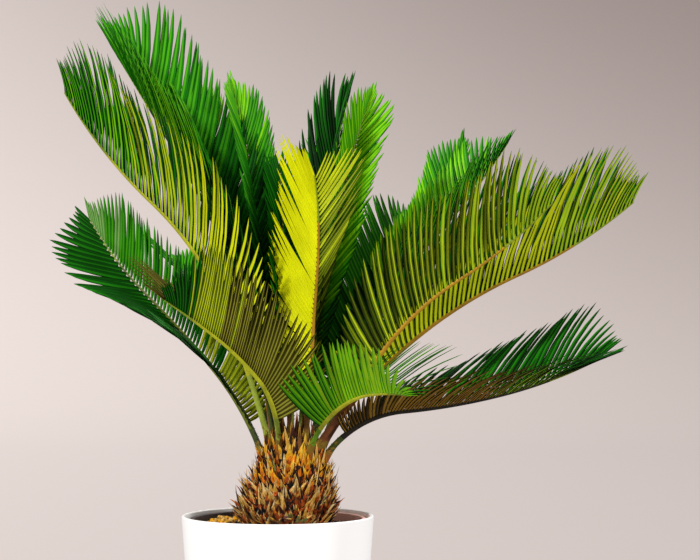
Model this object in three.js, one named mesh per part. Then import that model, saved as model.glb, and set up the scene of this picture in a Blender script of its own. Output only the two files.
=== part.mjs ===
// A sago palm in its pot: a scaly trunk with a crown of feather fronds, standing in a plastic
// nursery pot inside a plain white planter. Millimetres, +Z up, origin under the planter's middle.
import * as THREE from "three";

// Driving dimensions.
const CLEARANCE = 0.3;
const PLANTER = {
  height: 230, rimRadius: 125, footRadius: 109, wall: 4.5, floor: 7, footRound: 5, sides: 48,
};
const NURSERY_POT = {
  rimBelow: 4, rimRadius: 115, footRadius: 99, wall: 2.5, lip: 3, lipDepth: 12, sides: 48,
};
// The soil's gap is wider than what the pot's flat facets cut off its round.
const SOIL = { below: 16, flatRadius: 84, edgeDrop: 3, gap: 0.6, sides: 36 };
const TRUNK = {
  footX: 9, crownX: 19, sides: 22, rows: 12, topRow: 0.62,
  scaleOut: 12, scaleUp: 9, outAtTop: 0.5, stalkRoom: 15, stalkStations: 5,
};
// The trunk's bare radius at heights above the soil, from its flare to the crown.
const TRUNK_PROFILE = [[0, 56], [20, 59], [42, 53], [66, 44]];
const CROWN = { radius: 44, height: 40, rings: [0.6, 0.4, 0.2] };
const RIB = { base: 4.2, tip: 1, depthBase: 8, depthTip: 2, petioleSteps: 5, margin: 0.25 };
// Along a frond, leaflets grow from a short foot to their full length and shorten towards the
// tip, while they turn from square across the rib to nearly in line with it.
const LEAFLET = {
  spacing: 11.5, thickness: 0.016, deepest: 0.75, clearance: 0.4, endLength: 0.3,
  shorter: [1, 0.8, 0.6, 0.42],
  fullFrom: 0.35, shortenFrom: 0.76, shortenBy: 0.68,
  sweepFoot: 75, sweepSettles: 0.3, sweepTurn: 28, turnFrom: 0.7, turnBy: 20,
  closeFrom: 0.8, flattenFrom: 0.7, flattenBy: 0.3,
};

const soilTop = PLANTER.height - SOIL.below;
const trunkFoot = soilTop + CLEARANCE;
const crownFoot = trunkFoot + TRUNK_PROFILE[TRUNK_PROFILE.length - 1][0];
const radians = THREE.MathUtils.degToRad;

// Each frond: the distance of its seat from the crown's middle, its length and its longest
// leaflet, the bare share of its stalk, and in degrees the V of its leaflets. Heading is 0 to the
// right and 90 to the back, rise is up from level, and roll turns the blade about its rib. Each
// of these lists runs from the seat to the tip. Foot and lean are pairs for the rib's right-hand
// and left-hand leaflets: the share of their length that the first ones have, and how far they
// turn towards the tip. Close is how far the leaflets fold in at the tip.
const FRONDS = [
  {
    name: "left_long", seat: 24, length: 547, leaf: 157, bare: 0.2, foot: [0.3, 0.3], vee: 58, close: -0.3,
    heading: [185, 182], rise: [75, 69, 43, 60], roll: [0, 0], lean: [6, 10],
  },
  {
    name: "left_tall", seat: 24, length: 612, leaf: 157, bare: 0.2, foot: [0.3, 0.3], vee: 58, close: 0.6,
    heading: [150, 150], rise: [84, 68, 55, 54], roll: [0, -10], lean: [7, 20],
  },
  {
    name: "rear_left_tall", seat: 30, length: 520, leaf: 98, bare: 0.2, foot: [0.3, 0.3], vee: 40, close: 0.5,
    heading: [140, 138], rise: [82, 76, 63, 54], roll: [0, 0], lean: [8, 6],
  },
  {
    name: "rear_tall", seat: 22, length: 500, leaf: 81, bare: 0.2, foot: [0.3, 0.3], vee: 40, close: 0.5,
    heading: [128, 126], rise: [84, 80, 74, 66], roll: [0, 0], lean: [18, 6],
  },
  {
    name: "centre_short", seat: 8, length: 372, leaf: 80, bare: 0.25, foot: [0.3, 0.3], vee: 55, close: 0.5,
    heading: [110, 105], rise: [86, 84, 80, 76], roll: [0, 0], lean: [0, 0],
  },
  {
    name: "rear_right_tall", seat: 24, length: 474, leaf: 121, bare: 0.25, foot: [0.3, 0.3], vee: 35, close: 0.6,
    heading: [60, 43], rise: [84, 86, 74, 71], roll: [0, -12], lean: [0, 26],
  },
  {
    name: "right_steep", seat: 22, length: 480, leaf: 83, bare: 0.25, foot: [0.3, 0.3], vee: 60, close: 0.92,
    heading: [30, 42], rise: [96, 76, 75, 66], roll: [20, 64, 64], lean: [2, -12],
  },
  {
    name: "front_upright", seat: 16, length: 370, leaf: 123, bare: 0.2, foot: [0.3, 0.3], vee: 55, close: 0.2,
    heading: [322, 256], rise: [76, 86, 67, 59], roll: [-8, 8], lean: [6, -20],
  },
  {
    name: "right_front", seat: 26, length: 460, leaf: 140, bare: 0.2, foot: [0.3, 0.3], vee: 58, close: 0.2,
    heading: [-26, -14], rise: [52, 54, 31, 46], roll: [0, 0], lean: [-4, -10],
  },
  {
    name: "right_long", seat: 30, length: 536, leaf: 154, bare: 0.2, foot: [0.3, 0.3], vee: 58, close: -0.3,
    heading: [-4, 2], rise: [61, 41, 24, 40], roll: [0, 0], lean: [0, -3],
  },
  {
    name: "right_rear_high", seat: 29, length: 530, leaf: 88, bare: 0.25, foot: [0.3, 0.3], vee: 45, close: 0.9,
    heading: [46, 50], rise: [67, 45, 41, 78], roll: [0, 0], lean: [3, 8],
  },
  {
    name: "right_rear", seat: 34, length: 514, leaf: 79, bare: 0.25, foot: [0.3, 0.3], vee: 55, close: 0.7,
    heading: [27, 27], rise: [67, 62, 43, 54], roll: [0, 0], lean: [6, 0],
  },
  {
    name: "left_low", seat: 37, length: 424, leaf: 98, bare: 0.12, foot: [0.45, 0.15], vee: 30, close: 0.4,
    heading: [160, 148], rise: [69, 46, 40, 55], roll: [0, -10, -60, -68], lean: [-3, 0],
  },
  {
    name: "front_left_low", seat: 29, length: 342, leaf: 118, bare: 0.14, foot: [0.3, 0.8], vee: 50, close: 0.35,
    heading: [238, 238], rise: [92, 36, 25, 22], roll: [0, 10, 10, 0], lean: [0, -4],
  },
  {
    name: "front_right_low", seat: 32, length: 268, leaf: 112, bare: 0.2, foot: [0.7, 0.3], vee: 45, close: 0.6,
    heading: [305, 300], rise: [60, 28, 6, -4], roll: [0, 0], lean: [0, 0],
  },
  {
    name: "right_low", seat: 37, length: 398, leaf: 134, bare: 0.12, foot: [0.3, 0.3], vee: 30, close: 0.5,
    heading: [-10, -12], rise: [58, 5, 14, 27], roll: [-10, 28], lean: [0, -8],
  },
  {
    name: "rear_low", seat: 37, length: 470, leaf: 110, bare: 0.2, foot: [0.3, 0.3], vee: 45, close: 0.35,
    heading: [92, 90], rise: [60, 38, 22, 12], roll: [0, 0], lean: [0, 0],
  },
  {
    name: "rear_right_low", seat: 37, length: 470, leaf: 110, bare: 0.2, foot: [0.3, 0.3], vee: 45, close: 0.35,
    heading: [62, 60], rise: [66, 48, 36, 28], roll: [0, 0], lean: [0, 0],
  },
  {
    name: "rear_left_low", seat: 36, length: 430, leaf: 105, bare: 0.2, foot: [0.3, 0.3], vee: 40, close: 0.35,
    heading: [120, 118], rise: [62, 42, 30, 20], roll: [0, 0], lean: [0, 0],
  },
  {
    name: "rear_middle", seat: 32, length: 500, leaf: 115, bare: 0.2, foot: [0.3, 0.3], vee: 45, close: 0.35,
    heading: [78, 76], rise: [72, 58, 46, 40], roll: [0, 0], lean: [0, 0],
  },
];

const FINISHES = {
  planter: { color: 0xf2f0ee, roughness: 0.35 },
  nurseryPot: { color: 0x9a5a48, roughness: 0.7 },
  soil: { color: 0x2b211a, roughness: 0.95 },
  trunk: { color: 0x8a5a26, roughness: 0.9 },
  frond: { color: 0x4f8a1e, roughness: 0.5 },
};

// ---- Round ware -------------------------------------------------------------------------------

function lathe(outline, sides) {
  const points = outline.map(([radius, z]) => new THREE.Vector2(radius, z));
  const geometry = new THREE.LatheGeometry(points, sides);
  return geometry.rotateX(Math.PI / 2);
}

// Points of an outline on a round of the given size about (radius, z).
function arc(radius, z, size, from, to, steps) {
  return Array.from({ length: steps + 1 }, (_, step) => {
    const turn = radians(THREE.MathUtils.lerp(from, to, step / steps));
    return [radius + size * Math.cos(turn), z + size * Math.sin(turn)];
  });
}

function planterGeometry() {
  const { height, rimRadius, footRadius, wall, floor, footRound, sides } = PLANTER;
  const lean = (rimRadius - footRadius) / height;
  const half = wall / 2;
  return lathe([
    [0, 0],
    ...arc(footRadius - footRound, footRound, footRound, -90, 0, 2),
    ...arc(rimRadius - half, height - half, half, 0, 180, 4),
    [footRadius + lean * floor - wall, floor],
    [0, floor],
  ], sides);
}

const potFoot = PLANTER.floor + CLEARANCE;
const potRim = PLANTER.height - NURSERY_POT.rimBelow;

// The nursery pot's outer radius, without its lip.
function potRadius(z) {
  const { rimRadius, footRadius, lip } = NURSERY_POT;
  return THREE.MathUtils.mapLinear(z, potFoot, potRim, footRadius, rimRadius - lip);
}

function nurseryPotGeometry() {
  const { rimRadius, footRadius, wall, lip, lipDepth, sides } = NURSERY_POT;
  const lipFoot = potRim - lipDepth;
  const floor = potFoot + wall;
  return lathe([
    [0, potFoot],
    [footRadius, potFoot],
    [potRadius(lipFoot), lipFoot],
    [rimRadius, lipFoot + lip],
    [rimRadius, potRim],
    [potRadius(potRim) - wall, potRim],
    [potRadius(floor) - wall, floor],
    [0, floor],
  ], sides);
}

function soilGeometry() {
  const { flatRadius, edgeDrop, gap, sides } = SOIL;
  const foot = potFoot + NURSERY_POT.wall + CLEARANCE;
  const edge = soilTop - edgeDrop;
  const radius = (z) => potRadius(z) - NURSERY_POT.wall - gap;
  return lathe([
    [0, foot],
    [radius(foot), foot],
    [radius(edge), edge],
    [flatRadius, soilTop],
    [0, soilTop],
  ], sides);
}

// ---- A mesh built face by face ---------------------------------------------------------------

class Shell {
  constructor() {
    this.points = [];
    this.faces = [];
  }

  add(point) {
    this.points.push(point.x, point.y, point.z);
    return this.points.length / 3 - 1;
  }

  face(a, b, c) {
    this.faces.push(a, b, c);
  }

  quad(a, b, c, d) {
    this.face(a, b, c);
    this.face(a, c, d);
  }

  geometry() {
    const geometry = new THREE.BufferGeometry();
    geometry.setAttribute("position", new THREE.Float32BufferAttribute(this.points, 3));
    geometry.setIndex(this.faces);
    geometry.computeVertexNormals();
    return geometry;
  }
}

// ---- Trunk -----------------------------------------------------------------------------------

// The trunk's middle line leans a little towards the right as it rises.
function trunkMiddle(z) {
  const share = (z - trunkFoot) / (crownFoot - trunkFoot);
  return TRUNK.footX + (TRUNK.crownX - TRUNK.footX) * Math.min(1, share);
}

// The trunk's bare radius, which closes over the crown as the upper half of an ellipsoid.
function trunkRadius(z) {
  if (z > crownFoot) return CROWN.radius * Math.sqrt(1 - ((z - crownFoot) / CROWN.height) ** 2);
  const height = z - trunkFoot;
  const next = Math.max(1, TRUNK_PROFILE.findIndex(([top]) => top >= height));
  const [lowHeight, lowRadius] = TRUNK_PROFILE[next - 1];
  const [highHeight, highRadius] = TRUNK_PROFILE[next];
  return THREE.MathUtils.mapLinear(height, lowHeight, highHeight, lowRadius, highRadius);
}

function crownHeight(radius) {
  return crownFoot + CROWN.height * Math.sqrt(1 - (radius / CROWN.radius) ** 2);
}

function ringPoint(radius, z, turn) {
  const x = trunkMiddle(z) + radius * Math.cos(turn);
  return new THREE.Vector3(x, radius * Math.sin(turn), z);
}

// The bark is a net of old leaf bases: every diamond of the net rises to a point that leans upwards.
function trunkGeometry(stalks) {
  const shell = new Shell();
  const { sides, rows, scaleOut, scaleUp, outAtTop } = TRUNK;
  const lastRow = crownFoot + CROWN.height * TRUNK.topRow;
  const turnOf = (row, side) => ((side + (row % 2) / 2) / sides) * 2 * Math.PI;
  const rowHeight = (row) => trunkFoot + ((lastRow - trunkFoot) * row) / rows;
  const net = [];
  for (let row = 0; row <= rows; row++) {
    const z = rowHeight(row);
    const ring = [];
    for (let side = 0; side < sides; side++) {
      ring.push(shell.add(ringPoint(trunkRadius(z), z, turnOf(row, side))));
    }
    net.push(ring);
  }
  const knot = (row, side) => net[row][(side + sides) % sides];
  for (let row = 0; row <= rows; row++) {
    const z = rowHeight(row);
    for (let side = 0; side < sides; side++) {
      const right = knot(row, side);
      const left = knot(row, side + 1);
      const middle = row % 2 ? side + 1 : side;
      if (row === 0) shell.face(right, left, knot(1, middle));
      else if (row === rows) shell.face(left, right, knot(rows - 1, middle));
      else {
        const share = row / rows;
        const turn = turnOf(row, side + 0.5);
        const out = scaleOut * THREE.MathUtils.lerp(1, outAtTop, share);
        const raised = ringPoint(trunkRadius(z) + out, z + scaleUp, turn);
        const crowded = stalks.some((stalk) => stalk.distanceTo(raised) < TRUNK.stalkRoom);
        const apex = shell.add(crowded ? ringPoint(trunkRadius(z), z, turn) : raised);
        const top = knot(row + 1, middle);
        const bottom = knot(row - 1, middle);
        shell.face(bottom, left, apex);
        shell.face(left, top, apex);
        shell.face(top, right, apex);
        shell.face(right, bottom, apex);
      }
    }
  }
  const foot = shell.add(ringPoint(0, trunkFoot, 0));
  for (let side = 0; side < sides; side++) shell.face(knot(0, side + 1), knot(0, side), foot);
  let below = net[rows];
  for (const share of CROWN.rings) {
    const radius = CROWN.radius * share;
    const z = crownHeight(radius);
    const ring = below.map((_, side) => shell.add(ringPoint(radius, z, turnOf(rows, side))));
    below.forEach((_, side) => {
      const next = (side + 1) % sides;
      shell.quad(below[side], below[next], ring[next], ring[side]);
    });
    below = ring;
  }
  const peak = shell.add(ringPoint(0, crownFoot + CROWN.height, 0));
  below.forEach((_, side) => shell.face(below[side], below[(side + 1) % sides], peak));
  return shell.geometry();
}

// ---- Fronds ----------------------------------------------------------------------------------

function along(values, share) {
  const place = share * (values.length - 1);
  const step = Math.min(values.length - 2, Math.floor(place));
  return THREE.MathUtils.lerp(values[step], values[step + 1], place - step);
}

// The way the rib runs, the way its upper side faces, and the way its right-hand leaflets grow.
function frameAt(frond, share) {
  const heading = radians(along(frond.heading, share));
  const rise = radians(along(frond.rise, share));
  const roll = radians(along(frond.roll, share));
  const level = new THREE.Vector3(Math.cos(heading), Math.sin(heading), 0);
  const run = level.clone().multiplyScalar(Math.cos(rise)).setZ(Math.sin(rise));
  const above = level.clone().multiplyScalar(-Math.sin(rise)).setZ(Math.cos(rise));
  const across = run.clone().cross(above);
  const up = above.multiplyScalar(Math.cos(roll)).addScaledVector(across, Math.sin(roll));
  return { run, up, side: run.clone().cross(up) };
}

// The reach of a leaflet from the rib to its tip. Hand is 1 on the rib's right and -1 on its left.
function leafletAt(frond, share, frame, hand) {
  const place = (share - frond.bare) / (1 - frond.bare);
  const ease = (from, to) => THREE.MathUtils.smoothstep(place, from, to);
  const side = hand > 0 ? 0 : 1;
  const grown = THREE.MathUtils.lerp(frond.foot[side], 1, ease(0, LEAFLET.fullFrom));
  const spent = 1 - LEAFLET.shortenBy * ease(LEAFLET.shortenFrom, 1);
  const settled = (LEAFLET.sweepTurn + frond.lean[side]) * ease(0, LEAFLET.sweepSettles);
  const turned = LEAFLET.turnBy * ease(LEAFLET.turnFrom, 1);
  const closed = 1 - frond.close * ease(LEAFLET.closeFrom, 1);
  const sweep = radians((LEAFLET.sweepFoot - settled - turned) * closed);
  const vee = radians(frond.vee * (1 - LEAFLET.flattenBy * ease(LEAFLET.flattenFrom, 1)));
  const out = frame.side.clone().multiplyScalar(hand * Math.cos(vee));
  out.addScaledVector(frame.up, Math.sin(vee));
  const reach = frame.run.clone().multiplyScalar(Math.cos(sweep));
  reach.addScaledVector(out, Math.sin(sweep));
  return reach.multiplyScalar(frond.leaf * grown * spent);
}

// The rib from its seat on the crown to its tip, as stations that each hold a place and a frame.
function ribStations(frond) {
  const pairs = Math.round((frond.length * (1 - frond.bare)) / LEAFLET.spacing);
  const shares = [];
  for (let step = 0; step < RIB.petioleSteps; step++) {
    shares.push((frond.bare * step) / RIB.petioleSteps);
  }
  for (let pair = 0; pair <= pairs; pair++) {
    shares.push(frond.bare + ((1 - frond.bare) * pair) / pairs);
  }
  const turn = radians(frond.heading[0]);
  const seatHeight = crownHeight(frond.seat);
  const place = ringPoint(frond.seat, seatHeight, turn);
  const slope = frond.seat / (CROWN.radius ** 2 / CROWN.height ** 2) / (seatHeight - crownFoot);
  const normal = new THREE.Vector3(slope * Math.cos(turn), slope * Math.sin(turn), 1).normalize();
  place.addScaledVector(normal, CLEARANCE);
  const stations = shares.map((share, index) => {
    if (index > 0) {
      const middle = frameAt(frond, (shares[index - 1] + share) / 2);
      place.addScaledVector(middle.run, frond.length * (share - shares[index - 1]));
    }
    return { share, place: place.clone(), ...frameAt(frond, share) };
  });
  return { stations, normal };
}

function ribSection(station) {
  const half = THREE.MathUtils.lerp(RIB.base, RIB.tip, station.share);
  const depth = THREE.MathUtils.lerp(RIB.depthBase, RIB.depthTip, station.share);
  const side = station.side.clone().multiplyScalar(half);
  return [
    station.place.clone().add(side),
    station.place.clone().sub(side),
    station.place.clone().addScaledVector(station.up, -depth),
  ];
}

// The stalk's foot is cut to lie flat on the crown.
function mitred(section, station, normal) {
  return section.map((corner) => {
    const rest = normal.dot(station.place.clone().sub(corner)) / normal.dot(station.run);
    return corner.clone().addScaledVector(station.run, rest);
  });
}

// ---- Keeping leaflets clear of the other fronds ------------------------------------------------

const ray = new THREE.Ray();
const meeting = new THREE.Vector3();

function edgeMeetsFace([start, end], [a, b, c]) {
  const edge = end.clone().sub(start);
  const length = edge.length();
  ray.set(start, edge.divideScalar(length));
  const hit = ray.intersectTriangle(a, b, c, false, meeting);
  return hit !== null && hit.distanceTo(start) <= length;
}

// A body is a tapered three-sided solid, known by its edges, its faces and its box.
function bodyOf(foot, tops) {
  const corners = [...foot, ...tops];
  const [a, b, c] = foot;
  const pointed = tops.length === 1;
  const [d, e, f] = pointed ? [tops[0], tops[0], tops[0]] : tops;
  const edges = [[a, b], [b, c], [c, a], [a, d], [b, e], [c, f]];
  const faces = [[a, b, c], [a, b, e], [b, c, f], [c, a, d]];
  if (!pointed) {
    edges.push([d, e], [e, f], [f, d]);
    faces.push([d, e, f], [a, e, d], [b, f, e], [c, d, f]);
  }
  return { edges, faces, box: new THREE.Box3().setFromPoints(corners) };
}

function bodiesMeet(one, other) {
  if (!one.box.intersectsBox(other.box)) return false;
  const cuts = (from, into) => {
    return from.edges.some((edge) => into.faces.some((face) => edgeMeetsFace(edge, face)));
  };
  return cuts(one, other) || cuts(other, one);
}

function middleOf(corners) {
  const sum = new THREE.Vector3();
  corners.forEach((corner) => sum.add(corner));
  return sum.divideScalar(corners.length);
}

// A leaflet a little fatter and longer than life, so that its neighbours keep their clearance.
function leafletBody(corners, tip) {
  const middle = middleOf(corners);
  const grow = (point) => {
    const away = point.clone().sub(middle);
    return point.clone().addScaledVector(away.normalize(), 2 * LEAFLET.clearance);
  };
  return bodyOf(corners.map(grow), [grow(tip)]);
}

// The lengths of rib between stations, a little fatter than life in the same way.
function ribBodies(sections) {
  const around = (corners) => {
    const middle = middleOf(corners);
    return corners.map((corner) => corner.clone().lerp(middle, -RIB.margin));
  };
  return sections.slice(1).map((section, index) => {
    return bodyOf(around(sections[index]), around(section));
  });
}

// ---- The crown, frond by frond ---------------------------------------------------------------

function plannedRib(frond) {
  const rib = ribStations(frond);
  const sections = rib.stations.map(ribSection);
  sections[0] = mitred(sections[0], rib.stations[0], rib.normal);
  return { frond, ...rib, sections, bodies: ribBodies(sections) };
}

// One side of the rib between two stations: plain, or opened where a leaflet grows from it.
function ribSide(shell, edge, keel, hand, leaflet) {
  const [first, second] = edge;
  const [keelFirst, keelSecond] = keel;
  const turned = (a, b, c) => (hand > 0 ? shell.face(a, b, c) : shell.face(a, c, b));
  if (!leaflet) {
    turned(first, keelFirst, second);
    turned(keelFirst, keelSecond, second);
    return;
  }
  const root = shell.add(leaflet.root);
  const tip = shell.add(leaflet.tip);
  turned(first, keelFirst, root);
  turned(keelFirst, keelSecond, root);
  turned(keelSecond, second, root);
  turned(first, root, tip);
  turned(root, second, tip);
  turned(second, first, tip);
}

// A leaflet between two stations, shortened until it is clear of what stands, or none.
function growLeaflet(rib, index, hand, standing) {
  const here = rib.stations[index];
  const next = rib.stations[index + 1];
  const share = (here.share + next.share) / 2;
  const which = hand > 0 ? 0 : 1;
  const [first, keelFirst] = [rib.sections[index][which], rib.sections[index][2]];
  const [second, keelSecond] = [rib.sections[index + 1][which], rib.sections[index + 1][2]];
  const edge = first.clone().lerp(second, 0.5);
  const keel = keelFirst.clone().lerp(keelSecond, 0.5);
  const reach = leafletAt(rib.frond, share, frameAt(rib.frond, share), hand);
  const thickness = LEAFLET.thickness * reach.length();
  const deep = Math.min(LEAFLET.deepest, thickness / edge.distanceTo(keel));
  const root = edge.clone().lerp(keel, deep);
  for (const shorter of LEAFLET.shorter) {
    const tip = edge.clone().addScaledVector(reach, shorter);
    const body = leafletBody([first, second, root], tip);
    if (!standing.some((other) => bodiesMeet(body, other))) return { root, tip, body };
  }
  return null;
}

function frondGeometry(rib, standing) {
  const shell = new Shell();
  const rings = rib.sections.map((section) => section.map((corner) => shell.add(corner)));
  const own = [];
  const petiole = RIB.petioleSteps;
  rings.slice(1).forEach((ring, index) => {
    const [right, left, keel] = rings[index];
    const [nextRight, nextLeft, nextKeel] = ring;
    shell.quad(right, nextRight, nextLeft, left);
    for (const hand of [1, -1]) {
      const leaflet = index < petiole ? null : growLeaflet(rib, index, hand, standing);
      const edge = hand > 0 ? [right, nextRight] : [left, nextLeft];
      ribSide(shell, edge, [keel, nextKeel], hand, leaflet);
      if (leaflet) own.push(leaflet.body);
    }
  });
  const [right, left, keel] = rings[0];
  shell.face(right, left, keel);
  const last = rib.stations[rib.stations.length - 1];
  const endLength = rib.frond.leaf * LEAFLET.endLength;
  const end = shell.add(last.place.clone().addScaledVector(last.run, endLength));
  const [endRight, endLeft, endKeel] = rings[rings.length - 1];
  shell.face(endRight, endKeel, end);
  shell.face(endKeel, endLeft, end);
  shell.face(endLeft, endRight, end);
  standing.push(...own);
  return shell.geometry();
}

// ---- Assembly --------------------------------------------------------------------------------

function piece(name, geometry, finish) {
  const material = new THREE.MeshStandardMaterial({ ...finish, metalness: 0 });
  const mesh = new THREE.Mesh(geometry, material);
  mesh.name = name;
  return mesh;
}

const palm = new THREE.Group();
palm.add(piece("planter", planterGeometry(), FINISHES.planter));
palm.add(piece("nursery_pot", nurseryPotGeometry(), FINISHES.nurseryPot));
palm.add(piece("soil", soilGeometry(), FINISHES.soil));

const ribs = FRONDS.map(plannedRib);
const stalks = ribs.flatMap((rib) => {
  return rib.stations.slice(0, TRUNK.stalkStations).map((station) => station.place);
});
palm.add(piece("trunk", trunkGeometry(stalks), FINISHES.trunk));
const leaflets = [];
for (const rib of ribs) {
  const others = ribs.filter((other) => other !== rib).flatMap((other) => other.bodies);
  const standing = [...leaflets, ...others];
  const before = standing.length;
  palm.add(piece(`frond_${rib.frond.name}`, frondGeometry(rib, standing), FINISHES.frond));
  leaflets.push(...standing.slice(before));
}

export default palm;
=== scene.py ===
import math

import bmesh
import bpy
import numpy as np
from mathutils import Matrix, Vector, noise


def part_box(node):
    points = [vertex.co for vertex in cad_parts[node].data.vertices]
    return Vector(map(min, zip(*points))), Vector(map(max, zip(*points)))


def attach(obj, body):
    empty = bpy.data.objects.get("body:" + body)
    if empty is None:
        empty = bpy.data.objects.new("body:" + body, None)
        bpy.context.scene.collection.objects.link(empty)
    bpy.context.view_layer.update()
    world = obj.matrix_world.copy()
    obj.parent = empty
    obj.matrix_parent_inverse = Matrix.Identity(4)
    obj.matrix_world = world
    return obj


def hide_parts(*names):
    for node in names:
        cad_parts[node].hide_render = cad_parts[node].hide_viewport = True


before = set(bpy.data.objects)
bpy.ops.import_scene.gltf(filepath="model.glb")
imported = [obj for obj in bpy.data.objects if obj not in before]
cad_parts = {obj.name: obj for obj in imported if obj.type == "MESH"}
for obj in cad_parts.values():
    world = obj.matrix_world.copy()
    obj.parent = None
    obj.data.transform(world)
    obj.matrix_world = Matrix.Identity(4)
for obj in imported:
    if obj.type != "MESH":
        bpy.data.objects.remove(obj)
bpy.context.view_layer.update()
scene = bpy.context.scene
print("frame:", len(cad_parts), "nodes")

# Camera: a long lens, level, square to the pot.
cameraSetup = {"place": (0.094, -3.19, 0.536), "tilt": 90, "lens": 126, "sensorWidth": 36}


def makeCamera(setup):
    data = bpy.data.cameras.new("camera")
    data.lens = setup["lens"]
    data.sensor_width = setup["sensorWidth"]
    camera = bpy.data.objects.new("camera", data)
    camera.location = setup["place"]
    camera.rotation_euler.x = math.radians(setup["tilt"])
    scene.collection.objects.link(camera)
    scene.camera = camera


makeCamera(cameraSetup)

# Shader groups. Each spreads a colour, its patches and its flecks over a surface. These are the
# inputs that all have, with the values they start with, and what they give.
surfaceInputs = {
    "Color": (0.5, 0.5, 0.5, 1), "Patch Color": (0.4, 0.4, 0.4, 1), "Fleck Color": (0.2, 0.2, 0.2, 1),
    "Patch Amount": 0.5, "Fleck Amount": 0.3, "Smoothest": 0.4, "Roughest": 0.6,
}
surfaceOutputs = {
    "Color": "NodeSocketColor", "Roughness": "NodeSocketFloat", "Height": "NodeSocketFloat",
}
# An input's kind, by how many values it has.
socketKinds = {1: "NodeSocketFloat", 3: "NodeSocketVector", 4: "NodeSocketColor"}
# How fine each noise is, and the part of its range that a pattern runs over.
noiseDetail = {"patch": 3, "fleck": 2, "fibrePatch": 2, "fibre": 4}
noiseRange = {
    "patch": (0.35, 0.65), "fleck": (0.5, 0.72), "fibrePatch": (0.4, 0.6), "fibre": (0.5, 0.66),
    "rough": (0.3, 0.7),
}


def startGroup(name, inputs):
    group = bpy.data.node_groups.new(name, "ShaderNodeTree")
    for label, value in {**surfaceInputs, **inputs}.items():
        kind = socketKinds[np.size(value)]
        group.interface.new_socket(label, in_out="INPUT", socket_type=kind).default_value = value
    for label, kind in surfaceOutputs.items():
        group.interface.new_socket(label, in_out="OUTPUT", socket_type=kind)
    return group, group.nodes.new("NodeGroupInput").outputs


# Adds a node, joins each input to a socket or gives it a value, and gives the node's outputs.
def addNode(tree, kind, inputs, **settings):
    node = tree.nodes.new("ShaderNode" + kind)
    for label, value in settings.items():
        setattr(node, label, value)
    for label, value in inputs.items():
        if isinstance(value, bpy.types.NodeSocket):
            tree.links.new(value, node.inputs[label])
        else:
            node.inputs[label].default_value = value
    return node.outputs


def noiseNode(group, kind, **inputs):
    return addNode(group, "TexNoise", {"Detail": noiseDetail[kind], **inputs})["Fac"]


# Without ends of its own the result runs from 0 to 1.
def rangeNode(group, kind, value, **ends):
    start, end = noiseRange[kind]
    inputs = {"Value": value, "From Min": start, "From Max": end, **ends}
    return addNode(group, "MapRange", inputs)["Result"]


# Lays the second colour over the first by the share times the amount.
def layNode(group, first, second, share, amount):
    laid = addNode(group, "Math", {0: share, 1: amount}, operation="MULTIPLY")["Value"]
    return addNode(group, "Mix", {"Factor": laid, "A": first, "B": second}, data_type="RGBA")["Result"]


def patchedColor(group, given, patches):
    return layNode(group, given["Color"], given["Patch Color"], patches, given["Patch Amount"])


# Lays flecks, cut from the height, over the base colour and joins up what the group gives.
def finishGroup(group, given, base, kind, height):
    flecks = rangeNode(group, kind, height)
    color = layNode(group, base, given["Fleck Color"], flecks, given["Fleck Amount"])
    ends = {"To Min": given["Smoothest"], "To Max": given["Roughest"]}
    made = group.nodes.new("NodeGroupOutput").inputs
    for label, result in zip(surfaceOutputs, (color, rangeNode(group, "rough", height, **ends), height)):
        group.links.new(result, made[label])
    return group


# Patches and fine flecks over a surface, such as on leaves, glaze, plastic and earth.
def makeMottle():
    group, given = startGroup("mottle", {"Patch Scale": 20, "Fleck Scale": 300})
    place = addNode(group, "TexCoord", {})["Object"]
    coarse = noiseNode(group, "patch", Vector=place, Scale=given["Patch Scale"])
    fine = noiseNode(group, "fleck", Vector=place, Scale=given["Fleck Scale"])
    base = patchedColor(group, given, rangeNode(group, "patch", coarse))
    return finishGroup(group, given, base, "fleck", fine)


# Fibres that run the length of a scale, read from its own UV map.
def makeFibre():
    group, given = startGroup("fibre", {"Fibres Across": 6, "Fibres Along": 0.7})
    place = addNode(group, "TexCoord", {})["UV"]
    stretch = addNode(group, "CombineXYZ", {"X": given["Fibres Across"], "Y": given["Fibres Along"]})
    laid = addNode(group, "Mapping", {"Vector": place, "Scale": stretch["Vector"]})["Vector"]
    strands = noiseNode(group, "fibre", Vector=laid)
    patches = rangeNode(group, "fibrePatch", noiseNode(group, "fibrePatch", Vector=place))
    base = patchedColor(group, given, patches)
    return finishGroup(group, given, base, "fibre", strands)


# Painted shade: a wash from the dark patch colour to the main one, by the distance from a place of
# shade, told in x and z.
def makeShadeWash():
    group, given = startGroup("wash", {
        "Dark Place": (0, 0, 0), "Stretch": (1, 0, 1), "Dark Reach": 1, "Pale Reach": 4,
        "Fleck Scale": 60,
    })
    place = addNode(group, "TexCoord", {})["Object"]
    away = addNode(group, "VectorMath", {0: place, 1: given["Dark Place"]}, operation="SUBTRACT")
    away = addNode(group, "VectorMath", {0: away["Vector"], 1: given["Stretch"]}, operation="MULTIPLY")
    away = addNode(group, "VectorMath", {0: away["Vector"]}, operation="LENGTH")["Value"]
    ends = {"From Min": given["Dark Reach"], "From Max": given["Pale Reach"]}
    pale = addNode(group, "MapRange", {"Value": away, **ends}, interpolation_type="SMOOTHSTEP")["Result"]
    tones = {"Factor": pale, "A": given["Patch Color"], "B": given["Color"]}
    shadedColor = addNode(group, "Mix", tones, data_type="RGBA")["Result"]
    fine = noiseNode(group, "fleck", Vector=place, Scale=given["Fleck Scale"])
    return finishGroup(group, given, shadedColor, "fleck", fine)


mottle = makeMottle()
fibre = makeFibre()
wash = makeShadeWash()


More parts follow.
